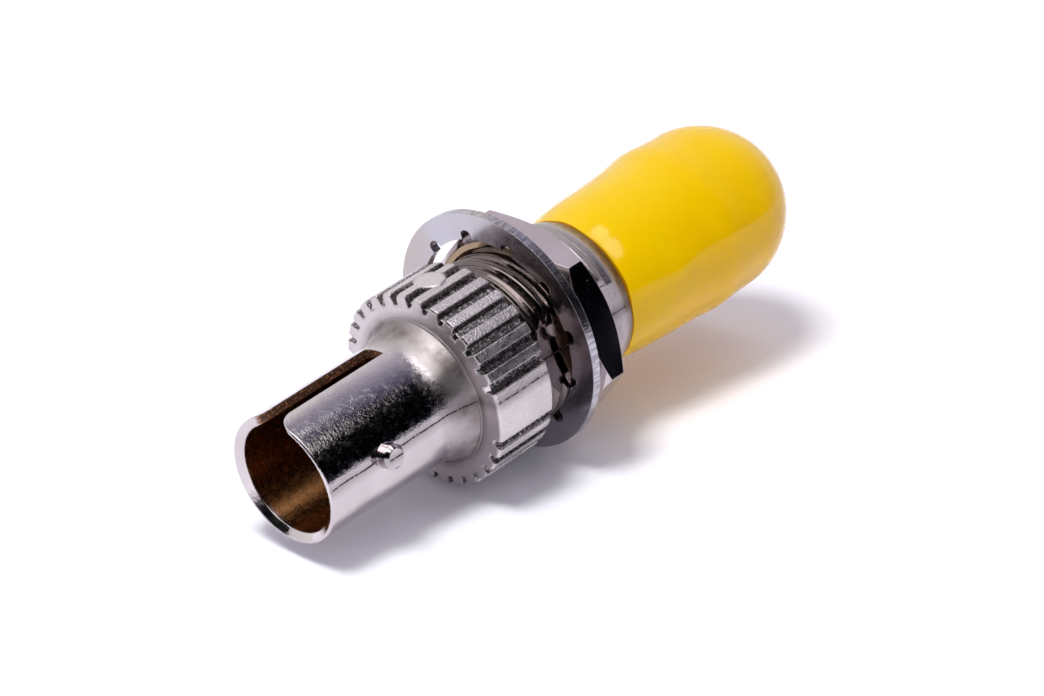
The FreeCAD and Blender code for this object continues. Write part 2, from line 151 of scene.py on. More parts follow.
class AdapterSizes(bpy.types.PropertyGroup):
    """Sizes of what is added to the solids."""

    pitch: length("Thread pitch", "Distance between neighbouring turns of the shank's thread", 0.794)
    crest: length("Thread crest radius", "Radius over the thread's crests", 4.72)
    root: length("Thread root radius", "Radius at the foot of each ridge, just under the shank's skin", 4.5)
    thread_start: length("Thread start", "Distance from the panel face to where the turns begin", 0.9)
    thread_end: length("Thread end", "Distance from the panel face to where the last turn has faded", 6.5)
    shank_end: length("Shank end", "Distance from the panel face to the end of the shank", 7.5)
    shank_lead: length("Shank lead", "Length of the lead at the end of the shank", 0.9)
    flat_half: length("Half across flats", "Distance from the axis to the shank's flats", 4.2)
    sunk: length("Sunk edge", "Radius inside the barrel's wall where the skins' ends are hidden", 3.3)
    collar_start: length("Collar start", "Distance ahead of the panel face where the flare begins", 6.05)
    collar_radius: length("Collar radius", "Radius where the flare meets the flange", 4.05)
    bead: length("Collar bead", "Radius of the low bead in the crease before the flange", 0.05)
    cap_bore: length("Cap bore radius", "Radius of the cap's bore, which grips the rear barrel", 3.56)
    cap_floor: length("Cap floor radius", "Radius of the flat floor inside the cap", 2.5)
    cap_end: length("Cap end thickness", "Thickness of the vinyl at the cap's tip", 1.4)
    lip_radius: length("Cap lip radius", "Outer radius of the cap at its lip", 4.22)
    flare: length("Cap flare", "Rise of the skin just behind the lip", 0.3)
    ring: length("Mouth ring", "How far the skin stands out over the rear barrel's mouth", 0.12)
    lug_inset: length("Lug inset", "Distance from the rear barrel's mouth to its lugs", 4.0)
    lug_reach: length("Lug reach", "Radius of the pockets inside the cap that hold the lugs", 4.25)
    bulge: length("Lug bulge", "How far the vinyl stands out where it is stretched over a lug", 0.1)


class AdapterFinishes(bpy.types.PropertyGroup):
    """Colours of the finishes."""

    nickel: colour("Nickel", "Nickel plate on the casting", "#CFC6C8")
    # Painted brown shade on the shank, its end and the collar's flare.
    film_and_shade: colour("Film", "Brownish film on the plate of the shank", "#5A4C48")
    bore: colour("Bore", "Thin brownish plate deep in the barrels", "#A87448")
    # Painted warm reflection, standing in for light bounced about inside the barrels' bores.
    keyway: colour("Keyway", "Bare rough metal on the walls of the keyways", "#A67454")
    seam: colour("Parting line", "Dirt held by the casting's parting line", "#2B2726")
    nut: colour("Nut", "Nickel plate on the turned nut", "#CCC1C4")
    # Painted tan shade and warm reflection near the nut's bore, and on the retainer tube.
    nut_warm_shade: colour("Nut film", "Tan film on turned nickel near a bore", "#A08A72")
    zinc: colour("Zinc", "Blue-passivated zinc plate on the washer", "#BBB8C1")
    zinc_warm: colour("Warm zinc", "Warmer drift in the washer's plate", "#B6AEAC")
    bronze: colour("Sleeve", "Bare phosphor bronze", "#B08A58")
    bronze_dull: colour("Dull sleeve", "Dull film on the phosphor bronze", "#8A6238")
    vinyl: colour("Vinyl", "Dipped vinyl of the cap", "#EBC200")
    # Deeper yellow for the thick coat toward the end, and painted shade toward the underside.
    vinyl_thick_and_shaded: colour("Thick vinyl", "Deeper yellow where the vinyl is thick", "#E8AE00")
    # Painted shade on the lip's end face.
    vinyl_rim_shade: colour("Vinyl rim", "Trimmed edge of the cap's lip", "#B97F0A")


class AdapterStage(bpy.types.PropertyGroup):
    """Camera, floor and light."""

    spot: FloatVectorProperty(name="Camera", description="Where the camera stands",
                              default=(-0.10487, -0.12852, 0.07093), subtype="TRANSLATION", unit="LENGTH")
    aim: FloatVectorProperty(name="Aim", description="Point in the middle of the picture",
                             default=(0.00356, 0.00044, -0.001308), subtype="TRANSLATION", unit="LENGTH")
    upright: FloatVectorProperty(name="Upright", description="Direction that is up in the picture",
                                 default=(0.0, -0.319, 0.948), subtype="DIRECTION")
    focal: FloatProperty(name="Focal share", description="Focal length over the picture's width",
                         default=3500 / 1044)
    roll: angle("Floor roll", "Turn of the floor about the adapter's axis", 11.5)
    pitch: angle("Floor pitch", "Nose-down lie of the adapter on flange and washer", 7.0)
    rig: angle("Rig pitch", "The same tilt for the rig of lamps and flag", 10.0)
    floor: colour("Floor", "White paper under the adapter", "#FAFAFB")
    lift: FloatProperty(name="Floor lift", description="Glow that makes the paper white to the camera",
                        default=0.17)
    near_lift: FloatProperty(name="Near lift", description="The same glow close to the adapter",
                             default=0.03)
    shade: colour("Fill", "Cool light that fills the shadows", "#E0DCFA")
    fill: FloatProperty(name="Fill level", description="Strength of the sky light on matt surfaces",
                        default=0.46)
    flag_reach: length("Flag distance", "Distance of the dark flag from the aim", 160)
    flag_cool: colour("Dark felt", "Tint of the flag where it is dark", "#A9A8E2")
    flag_pale: colour("Pale felt", "Tint of the flag where the room lights it", "#F6F0F4")
    key: power("Softbox", "Power of the large soft lamp that shows in the plate", 0.8)
    key_side: length("Softbox side", "Side of the square softbox", 340)
    beam: power("Beam", "Power of the lamp that lights what is matt and casts the shadow", 0.69)
    beam_side: length("Beam side", "Side of the square lamp that casts the shadow", 90)
    lamp_distance: length("Lamp distance", "Distance of softbox and beam from the aim", 300)
    spark: power("Window", "Power of the long soft lamp that glints on the cap", 0.5)
    window_long: length("Window length", "Length of the long soft lamp", 850)
    window_wide: length("Window width", "Width of the long soft lamp", 50)
    window_distance: length("Window distance", "Distance of the long soft lamp from the aim", 600)


def add(tree, kind, inputs=None, **settings):
    """Add a node with its settings, fill or link its inputs by name or number, and return its outputs."""
    made = tree.nodes.new(kind)
    for key, value in settings.items():
        setattr(made, key, value)
    for key, value in (inputs or {}).items():
        if isinstance(value, bpy.types.NodeSocket):
            tree.links.new(value, made.inputs[key])
        else:
            made.inputs[key].default_value = value
    return made.outputs


def new_material(name):
    """An empty node material and its tree."""
    material = bpy.data.materials.new(name)
    material.use_nodes = True
    material.node_tree.nodes.clear()
    return material, material.node_tree


def per(size_mm):
    """Texture scale at which one cell of a pattern measures that many millimetres."""
    return 1 / (size_mm * MM)


def axis_place(tree):
    """Sockets for the place on a piece: the spot itself, its x and z, the distance from the adapter's axis,
    and how far the surface faces along that axis, from 0 on a side to 1 on an end."""
    where = add(tree, "ShaderNodeTexCoord")
    spot = where["Object"]
    x, _, z = add(tree, "ShaderNodeSeparateXYZ", {0: spot})
    across = add(tree, "ShaderNodeVectorMath", {0: spot, 1: (0, 1, 1)}, operation="MULTIPLY")[0]
    radius = add(tree, "ShaderNodeVectorMath", {0: across}, operation="LENGTH")["Value"]
    facing = add(tree, "ShaderNodeSeparateXYZ", {0: where["Normal"]})[0]
    facing = add(tree, "ShaderNodeMath", {0: facing}, operation="ABSOLUTE")[0]
    return {"spot": spot, "x": x, "z": z, "radius": radius, "facing": facing}


def casting_zones(tree, place):
    """Masks of the casting's zones by name: ramps over a measure, and products of ramps."""
    zones = {name: add(tree, "ShaderNodeMapRange", {0: place[measure], 1: start, 2: full})[0]
             for name, (measure, start, full) in CASTING_RAMPS.items()}
    for name, (first, *others) in CASTING_ZONES.items():
        mask = zones[first]
        for other in others:
            mask = add(tree, "ShaderNodeMath", {0: mask, 1: zones[other]}, operation="MULTIPLY")[0]
        zones[name] = mask
    return zones


def parting_line(tree, place, zones, grain):
    """Masks of the casting's parting line, and of a band about 0.5 mm to each side that darkens the colour.
    The line wanders by a few hundredths of a millimetre about z = 0 and is broken by the plate."""
    wander = add(tree, "ShaderNodeTexNoise", {"Vector": place["spot"], "Scale": per(1.2), "Detail": 4.0})[0]
    wander = add(tree, "ShaderNodeMapRange", {0: wander, 3: -0.06 * MM, 4: 0.06 * MM})[0]
    off = add(tree, "ShaderNodeMath", {0: place["z"], 1: wander}, operation="ADD")[0]
    off = add(tree, "ShaderNodeMath", {0: off}, operation="ABSOLUTE")[0]
    seam = add(tree, "ShaderNodeMapRange", {0: off, 1: 0.055 * MM, 2: 0.02 * MM})[0]
    broken = add(tree, "ShaderNodeMapRange", {0: grain, 1: 0.36, 2: 0.54})[0]
    for mask in (zones["outer"], zones["side"], broken):
        seam = add(tree, "ShaderNodeMath", {0: seam, 1: mask}, operation="MULTIPLY")[0]
    seam_darkening = add(tree, "ShaderNodeMapRange", {0: off, 1: 0.08 * MM, 2: 0.55 * MM, 3: 0.62, 4: 1.0})[0]
    seam_darkening = add(tree, "ShaderNodeMix", {"Factor": zones["outer"], 2: 1.0, 3: seam_darkening}, data_type="FLOAT")[0]
    return seam, seam_darkening


def casting_colour(tree, finish, spot, zones, grain, seam_darkening):
    """Colour of the casting's plate: a random mottle, painted brown shade on the shank and the collar,
    painted warm reflection in the bores, bare metal on the keyway walls, painted shade between bright grains
    in the grooves and on those walls, a darker band beside the parting line, and the line itself.
    """
    mottle = add(tree, "ShaderNodeTexNoise", {"Vector": spot, "Scale": per(3.0), "Detail": 3.0})[0]
    mottle = add(tree, "ShaderNodeMapRange", {0: mottle, 1: 0.3, 2: 0.7, 3: 0.88, 4: 1.04})[0]
    # Painted shade in the grooves and on the keyway walls, down to a fifth of the colour, between bright
    # grains.
    shaded_recesses = add(tree, "ShaderNodeMath", {0: zones["groove"], 1: zones["wall"]}, operation="MAXIMUM")[0]
    recess_shade_and_grain = add(tree, "ShaderNodeMapRange", {0: grain, 1: 0.5, 2: 0.66, 3: 0.2, 4: 1.15})[0]
    recess_shade_and_grain = add(tree, "ShaderNodeMix", {"Factor": shaded_recesses, 2: 1.0, 3: recess_shade_and_grain}, data_type="FLOAT")[0]
    for share in (recess_shade_and_grain, seam_darkening):
        mottle = add(tree, "ShaderNodeMath", {0: mottle, 1: share}, operation="MULTIPLY")[0]
    # Painted brown shade covers the shank, thins out on its end and gathers in 1.4 mm clouds on the collar.
    cloud = add(tree, "ShaderNodeTexNoise", {"Vector": spot, "Scale": per(1.4), "Detail": 4.0})[0]
    cloud = add(tree, "ShaderNodeMapRange", {0: cloud, 1: 0.35, 2: 0.65, 3: 0.34, 4: 0.76})[0]
    film_and_shade = add(tree, "ShaderNodeMath", {0: zones["hollow"], 1: cloud}, operation="MULTIPLY")[0]
    for zone, share in (("shank", 0.85), ("nose", 0.4)):
        film_and_shade = add(tree, "ShaderNodeMath", {0: zones[zone], 1: share, 2: film_and_shade}, operation="MULTIPLY_ADD")[0]
    # The bores' brown is painted warm reflection; the keyway walls' brown is bare metal.
    plate = finish.nickel
    for mask, coat in ((film_and_shade, finish.film_and_shade), (zones["inside"], finish.bore), (zones["wall"], finish.keyway)):
        plate = add(tree, "ShaderNodeMix", {"Factor": mask, 6: plate, 7: coat}, data_type="RGBA")[2]
    plate = add(tree, "ShaderNodeVectorMath", {0: plate, "Scale": mottle}, operation="SCALE")[0]
    return add(tree, "ShaderNodeMix", {"Factor": zones["seam"], 6: plate, 7: finish.seam},
               data_type="RGBA")[2]


def casting_normal(tree, place, zones, grain):
    """Normal of the casting: round cast edges, orange peel about 0.8 mm wide, grain and a raised seam."""
    # Edges are roundest on the collar and the gate pad, which stands out past the ribs.
    soft = add(tree, "ShaderNodeMapRange", {0: zones["collar"], 3: 0.09 * MM, 4: 0.15 * MM})[0]
    pad = add(tree, "ShaderNodeMapRange", {0: place["radius"], 1: 5.46 * MM, 2: 5.49 * MM, 3: 0.0,
                                           4: 0.2 * MM})[0]
    soft = add(tree, "ShaderNodeMath", {0: soft, 1: pad}, operation="ADD")[0]
    rounded = add(tree, "ShaderNodeBevel", {"Radius": soft}, samples=6)[0]
    # Heights in millimetres: peel 0.008, grain 0.006 on the outside but 0.003 on the shank and in the bores
    # and 0.024 on the ribbed band and the shank's end, and a raised seam of 0.014.
    quiet = add(tree, "ShaderNodeMath", {0: zones["inside"], 1: zones["shank"]}, operation="MAXIMUM")[0]
    coarse = add(tree, "ShaderNodeMapRange", {0: quiet, 3: 0.006, 4: 0.003})[0]
    crust = add(tree, "ShaderNodeMath", {0: zones["nose"], 1: zones["band"]}, operation="MAXIMUM")[0]
    coarse = add(tree, "ShaderNodeMath", {0: crust, 1: 0.018, 2: coarse}, operation="MULTIPLY_ADD")[0]
    relief = add(tree, "ShaderNodeMath", {0: grain, 1: coarse}, operation="MULTIPLY")[0]
    peel = add(tree, "ShaderNodeTexNoise", {"Vector": place["spot"], "Scale": per(0.8), "Detail": 3.0,
                                            "Roughness": 0.55})[0]
    for pattern, height in ((peel, 0.008), (zones["seam"], 0.014)):
        relief = add(tree, "ShaderNodeMath", {0: pattern, 1: height, 2: relief}, operation="MULTIPLY_ADD")[0]
    return add(tree, "ShaderNodeBump", {"Strength": 1.0, "Distance": MM, "Height": relief,
                                        "Normal": rounded})[0]


def cast_nickel(finish):
    """Bright nickel plate on die-cast zinc: mirror-like on the barrels and satin on the ribbed band, with
    rough grooves darkened by painted shade, a broken parting line, painted brown shade on the shank and
    the collar, painted warm reflection in the bores and brown bare metal on the keyway walls."""
    material, tree = new_material("nickel plate on die cast zinc")
    place = axis_place(tree)
    spot = place["spot"]
    zones = casting_zones(tree, place)
    # Grain is drawn at 0.12 mm because the real 0.03 mm grit would not show.
    grain = add(tree, "ShaderNodeTexNoise", {"Vector": spot, "Scale": per(0.12), "Detail": 2.0})[0]
    zones["seam"], seam_darkening = parting_line(tree, place, zones, grain)
    plate = casting_colour(tree, finish, spot, zones, grain, seam_darkening)
    # Dull spots about 0.3 mm wide, where the plate is thin.
    dull = add(tree, "ShaderNodeTexNoise", {"Vector": spot, "Scale": per(0.3), "Detail": 4.0,
                                            "Roughness": 0.7})[0]
    rough = add(tree, "ShaderNodeMapRange", {0: dull, 1: 0.45, 2: 0.7, 3: 0.08, 4: 0.22})[0]
    for zone, share in CASTING_ROUGHNESS.items():
        rough = add(tree, "ShaderNodeMath", {0: zones[zone], 1: share, 2: rough},
                    operation="MULTIPLY_ADD")[0]
    bare = add(tree, "ShaderNodeMapRange", {0: zones["wall"], 3: 1.0, 4: 0.3})[0]
    normal = casting_normal(tree, place, zones, grain)
    shader = add(tree, "ShaderNodeBsdfPrincipled", {
        "Base Color": plate, "Metallic": bare, "Roughness": rough, "Normal": normal})[0]
    add(tree, "ShaderNodeOutputMaterial", {"Surface": shader})
    return material


def turned_nickel(name, tint, tan):
    """Nickel plate on turned brass: drawn lines along the flats, fine tool rings on the faces and cones,
    painted tan shade and warm reflection near the bore, and a little dust."""
    material, tree = new_material(name)
    place = axis_place(tree)
    spot, radius, facing = (place[key] for key in ("spot", "radius", "facing"))
    # Noise stretched along the bar gives draw lines about 0.08 mm apart, and the faces have like tool rings.
    along = add(tree, "ShaderNodeVectorMath", {0: spot, 1: (0.04, 1, 1)}, operation="MULTIPLY")[0]
    lines = add(tree, "ShaderNodeTexNoise", {"Vector": along, "Scale": per(0.16), "Detail": 2.0})[0]
    rings = add(tree, "ShaderNodeTexNoise", {"W": radius, "Scale": per(0.1), "Detail": 2.0},
                noise_dimensions="1D")[0]
    faces = add(tree, "ShaderNodeMapRange", {0: facing, 1: 0.2, 2: 0.4})[0]
    tool = add(tree, "ShaderNodeMix", {"Factor": faces, 2: lines, 3: rings}, data_type="FLOAT")[0]
    smudge = add(tree, "ShaderNodeTexNoise", {"Vector": spot, "Scale": per(2.2), "Detail": 3.0})[0]
    shade = add(tree, "ShaderNodeMapRange", {0: smudge, 1: 0.3, 2: 0.7, 3: 0.9, 4: 1.04})[0]
    # Painted tan shade and warm reflection within 5.2 mm of the axis, which is all of the retainer tube.
    film_and_shade = add(tree, "ShaderNodeMapRange", {0: radius, 1: 5.35 * MM, 2: 5.2 * MM})[0]
    plate = add(tree, "ShaderNodeMix", {"Factor": film_and_shade, 6: tint, 7: tan}, data_type="RGBA")[2]
    plate = add(tree, "ShaderNodeVectorMath", {0: plate, "Scale": shade}, operation="SCALE")[0]
    # Dust specks of about 0.04 mm, one in each 0.8 mm.
    dust = add(tree, "ShaderNodeTexVoronoi", {"Vector": spot, "Scale": per(0.8)})["Distance"]
    dust = add(tree, "ShaderNodeMapRange", {0: dust, 1: 0.04, 2: 0.02})[0]
    rough = add(tree, "ShaderNodeMapRange", {0: smudge, 1: 0.3, 2: 0.7, 3: 0.05, 4: 0.12})[0]
    rough = add(tree, "ShaderNodeMath", {0: dust, 1: 0.6, 2: rough}, operation="MULTIPLY_ADD")[0]
    rounded = add(tree, "ShaderNodeBevel", {"Radius": 0.05 * MM}, samples=4)[0]
    bump = add(tree, "ShaderNodeBump", {"Strength": 1.0, "Distance": 0.0012 * MM, "Height": tool,
                                        "Normal": rounded})[0]
    shader = add(tree, "ShaderNodeBsdfPrincipled", {
        "Base Color": plate, "Metallic": 1.0, "Roughness": rough, "Normal": bump})[0]
    add(tree, "ShaderNodeOutputMaterial", {"Surface": shader})
    return material


def stamped_zinc(finish):
    """Blue-passivated zinc plate on stamped steel: a soft satin face with a faint colour drift, and a
    sheared rim whose bright scores run across its edge."""
    material, tree = new_material("zinc plate on stamped steel")
    place = axis_place(tree)
    spot = place["spot"]
    # Shear scores about 0.1 mm apart: noise stretched along the axis so that each score crosses the rim.
    across = add(tree, "ShaderNodeVectorMath", {0: spot, 1: (0.15, 1, 1)}, operation="MULTIPLY")[0]
    scores = add(tree, "ShaderNodeTexNoise", {"Vector": across, "Scale": per(0.1), "Detail": 3.0})[0]
    skin = add(tree, "ShaderNodeTexNoise", {"Vector": spot, "Scale": per(0.5), "Detail": 4.0,
                                            "Roughness": 0.6})[0]
    faces = add(tree, "ShaderNodeMapRange", {0: place["facing"], 1: 0.3, 2: 0.6})[0]
    # The plate's tint drifts over about 4 mm.
    drift = add(tree, "ShaderNodeTexNoise", {"Vector": spot, "Scale": per(4.0), "Detail": 2.0})[0]
    warm = add(tree, "ShaderNodeMapRange", {0: drift, 1: 0.4, 2: 0.65})[0]
    plate = add(tree, "ShaderNodeMix", {"Factor": warm, 6: finish.zinc, 7: finish.zinc_warm},
                data_type="RGBA")[2]
    shade = add(tree, "ShaderNodeMapRange", {0: scores, 1: 0.4, 2: 0.6, 3: 0.6, 4: 1.08})[0]
    shade = add(tree, "ShaderNodeMix", {"Factor": faces, 2: shade, 3: 1.0}, data_type="FLOAT")[0]
    plate = add(tree, "ShaderNodeVectorMath", {0: plate, "Scale": shade}, operation="SCALE")[0]
    relief = add(tree, "ShaderNodeMix", {"Factor": faces, 2: scores, 3: skin}, data_type="FLOAT")[0]
    reach = add(tree, "ShaderNodeMapRange", {0: faces, 3: 0.014 * MM, 4: 0.002 * MM})[0]
    rough = add(tree, "ShaderNodeMapRange", {0: skin, 1: 0.3, 2: 0.7, 3: 0.15, 4: 0.25})[0]
    rounded = add(tree, "ShaderNodeBevel", {"Radius": 0.06 * MM}, samples=4)[0]
    bump = add(tree, "ShaderNodeBump", {"Strength": 1.0, "Distance": reach, "Height": relief,
                                        "Normal": rounded})[0]
    shader = add(tree, "ShaderNodeBsdfPrincipled", {
        "Base Color": plate, "Metallic": 1.0, "Roughness": rough, "Normal": bump})[0]
    add(tree, "ShaderNodeOutputMaterial", {"Surface": shader})
    return material


def drawn_bronze(finish):
    """Bare phosphor bronze strip rolled into a tube: warm, with fine lines along it and a dull film."""
    material, tree = new_material("phosphor bronze strip")
    spot = axis_place(tree)["spot"]
    # Rolling lines about 0.06 mm apart, and a film in clouds about 1.5 mm wide.
    along = add(tree, "ShaderNodeVectorMath", {0: spot, 1: (0.05, 1, 1)}, operation="MULTIPLY")[0]
    lines = add(tree, "ShaderNodeTexNoise", {"Vector": along, "Scale": per(0.12), "Detail": 2.0})[0]
    film_and_shade = add(tree, "ShaderNodeTexNoise", {"Vector": spot, "Scale": per(1.5), "Detail": 3.0})[0]
    film_and_shade = add(tree, "ShaderNodeMapRange", {0: film_and_shade, 1: 0.4, 2: 0.7})[0]
    metal = add(tree, "ShaderNodeMix", {"Factor": film_and_shade, 6: finish.bronze, 7: finish.bronze_dull},
                data_type="RGBA")[2]
    rough = add(tree, "ShaderNodeMapRange", {0: film_and_shade, 3: 0.2, 4: 0.36})[0]
    bump = add(tree, "ShaderNodeBump", {"Strength": 1.0, "Distance": 0.002 * MM, "Height": lines})[0]
    shader = add(tree, "ShaderNodeBsdfPrincipled", {
        "Base Color": metal, "Metallic": 1.0, "Roughness": rough, "Normal": bump})[0]
    add(tree, "ShaderNodeOutputMaterial", {"Surface": shader})
    return material


def dipped_vinyl(finish):
    """Soft vinyl from a hot dip: a wet gloss with slow ripples, deeper yellow where the coat ran thick
    toward the end, painted shade toward the underside and on the lip's end face, a little light passing
    under the skin, and a few specks of dust."""
    material, tree = new_material("dipped vinyl")
    place = axis_place(tree)
    spot, x, z, facing = (place[key] for key in ("spot", "x", "z", "facing"))
    # The coat ran thick toward the end, in clouds about 5 mm wide; the underside is painted shade.
    run = add(tree, "ShaderNodeMapRange", {0: x, 1: 9.0 * MM, 2: 22.0 * MM})[0]
    below = add(tree, "ShaderNodeMapRange", {0: z, 1: 4.0 * MM, 2: -4.0 * MM})[0]
    cloud = add(tree, "ShaderNodeTexNoise", {"Vector": spot, "Scale": per(5.0), "Detail": 3.0})[0]
    thickness_and_shade = add(tree, "ShaderNodeMath", {0: cloud, 1: 0.6, 2: -0.35}, operation="MULTIPLY_ADD")[0]
    thickness_and_shade = add(tree, "ShaderNodeMath", {0: run, 1: 0.4, 2: thickness_and_shade}, operation="MULTIPLY_ADD")[0]
    thickness_and_shade = add(tree, "ShaderNodeMath", {0: below, 1: 0.6, 2: thickness_and_shade}, operation="MULTIPLY_ADD",
                use_clamp=True)[0]
    skin = add(tree, "ShaderNodeMix", {"Factor": thickness_and_shade, 6: finish.vinyl, 7: finish.vinyl_thick_and_shaded},
               data_type="RGBA")[2]
    # The lip's trimmed edge faces the front and lies ahead of about x = 8 mm.
    # Its darker orange is painted shade.
    rim = add(tree, "ShaderNodeMapRange", {0: facing, 1: 0.55, 2: 0.9})[0]
    front = add(tree, "ShaderNodeMapRange", {0: x, 1: 8.2 * MM, 2: 7.8 * MM})[0]
    rim = add(tree, "ShaderNodeMath", {0: rim, 1: front}, operation="MULTIPLY")[0]
    skin = add(tree, "ShaderNodeMix", {"Factor": rim, 6: skin, 7: finish.vinyl_rim_shade}, data_type="RGBA")[2]
    # Ripples about 3 mm long left by the dip, and dust specks of 0.1 mm.
    ripple = add(tree, "ShaderNodeTexNoise", {"Vector": spot, "Scale": per(3.0), "Detail": 1.0})[0]
    dust = add(tree, "ShaderNodeTexVoronoi", {"Vector": spot, "Scale": per(2.5)})["Distance"]
    dust = add(tree, "ShaderNodeMapRange", {0: dust, 1: 0.06, 2: 0.03})[0]
    rough = add(tree, "ShaderNodeMapRange", {0: cloud, 1: 0.3, 2: 0.7, 3: 0.06, 4: 0.1})[0]
    relief = add(tree, "ShaderNodeMath", {0: dust, 1: 0.4, 2: ripple}, operation="MULTIPLY_ADD")[0]
    bump = add(tree, "ShaderNodeBump", {"Strength": 1.0, "Distance": 0.03 * MM, "Height": relief})[0]
    shader = add(tree, "ShaderNodeBsdfPrincipled", {
        "Base Color": skin, "Roughness": rough, "IOR": 1.53, "Specular IOR Level": 0.2, "Normal": bump,
        "Subsurface Weight": 0.2, "Subsurface Radius": (1.0, 0.55, 0.1), "Subsurface Scale": 0.6 * MM})[0]
    add(tree, "ShaderNodeOutputMaterial", {"Surface": shader})
    return material


def dress(node_name, material):
    """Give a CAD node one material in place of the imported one."""
    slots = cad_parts[node_name].data.materials
    slots.clear()
    slots.append(material)


def grid_object(name, points, close_columns, close_rows=False):
    """A smooth mesh through an array of rows and columns of points, which can each close on themselves.
    Each face joins row i and i + 1 and column j and j + 1, and points that coincide at a pole are merged."""
    index = np.arange(points.shape[0] * points.shape[1]).reshape(points.shape[:2])
    index = np.concatenate([index, index[:1]]) if close_rows else index
    index = np.concatenate([index, index[:, :1]], axis=1) if close_columns else index
    faces = np.stack([index[:-1, :-1], index[:-1, 1:], index[1:, 1:], index[1:, :-1]], axis=-1)
    mesh = bpy.data.meshes.new(name)
    mesh.from_pydata(points.reshape(-1, 3), [], faces.reshape(-1, 4).tolist())
    merged = bmesh.new()
    merged.from_mesh(mesh)
    bmesh.ops.remove_doubles(merged, verts=merged.verts, dist=POINT_GAP)
    merged.to_mesh(mesh)
    merged.free()
    mesh.polygons.foreach_set("use_smooth", np.ones(len(mesh.polygons), bool))
    mesh.update()
    made = bpy.data.objects.new(name, mesh)
    bpy.context.scene.collection.objects.link(made)
    return made


def smooth_step(values, low, high):
    """0 below low, 1 above high and the usual cubic 3t^2 - 2t^3 between them."""
    t = np.clip((values - low) / (high - low), 0, 1)
    return t * t * (3 - 2 * t)


def bump_of(distance, width, steepness=2):
    """A bump of height 1 that falls away as e to the minus (distance over width) to the steepness."""
    return np.exp(-(distance / width) ** steepness)


def round_axis(count):
    """Equal angles once round the axis, as one row."""
    return np.linspace(0, FULL_TURN, count, endpoint=False)[None, :]


def thread_points(sizes):
    """A skin over the shank, on stations along x and angles round the axis. Its height over the root is a
    flat-topped ridge over the distance to the nearest turn, where turns lie one pitch apart and climb with
    the angle as a right-hand thread. The turns fade out at both ends, and the last stretch leads in by a
    third of its length to an end face. Both ends go down into the barrel's wall and join there. Points past
    a flat are held just under it."""
    rise, fall, tuck = 0.5 * MM, 0.7 * MM, 0.02 * MM
    flank = 0.75
    along = np.linspace(sizes.thread_start, sizes.shank_end - sizes.shank_lead, THREAD_STATIONS)[:, None]
    angles = round_axis(THREAD_ANGLES)
    turn = along / sizes.pitch - angles / FULL_TURN
    ridge = smooth_step(1 - 2 * np.abs(turn - np.round(turn)), 0.0, flank)
    fade = (smooth_step(along, sizes.thread_start, sizes.thread_start + rise)
            * smooth_step(-along, -sizes.thread_end, -sizes.thread_end + fall))
    radius = sizes.root + (sizes.crest - sizes.root) * ridge * fade
    ends_x = np.array([sizes.shank_end, sizes.shank_end, sizes.thread_start])[:, None]
    ends_r = np.array([sizes.root - sizes.shank_lead / 3, sizes.sunk, sizes.sunk])[:, None]
    x = np.concatenate([along, ends_x]) + 0 * angles
    radius = np.concatenate([radius, ends_r + 0 * angles])
    under = sizes.flat_half - tuck
    y = np.clip(radius * np.cos(angles), -under, under)
    return np.stack([x, y, radius * np.sin(angles)], axis=-1)


def collar_points(sizes):
    """The flare between front barrel and flange, a profile turned about the axis. Its radius grows from
    just under the barrel's skin by a power of the distance run, so that it starts along the barrel and ends
    in a crease with a low bead. The profile goes on into the flange, returns inside the barrel's wall and
    closes on itself."""
    curl = 2.2
    tuck, buried = 0.005 * MM, 0.2 * MM
    bead_from, bead_to, bead_steps = 150, -60, 9
    barrel = BARREL_RADIUS - tuck
    start, hidden = -sizes.collar_start, FLANGE_FRONT + buried
    run = np.linspace(0, 1, COLLAR_STATIONS)
    flare_x = start + (FLANGE_FRONT - start) * run
    flare_r = barrel + (sizes.collar_radius - barrel) * run ** curl
    turn = np.radians(np.linspace(bead_from, bead_to, bead_steps))
    bead_x = FLANGE_FRONT - sizes.bead * np.sin(turn)
    bead_r = sizes.collar_radius + sizes.bead * (1 + np.cos(turn))
    x = np.concatenate([flare_x, bead_x, [hidden, hidden, start]])[:, None]
    radius = np.concatenate([flare_r, bead_r, [bead_r[-1], sizes.sunk, sizes.sunk]])[:, None]
    angles = round_axis(COLLAR_ANGLES)
    return np.stack([x + 0 * angles, radius * np.cos(angles), radius * np.sin(angles)], axis=-1)


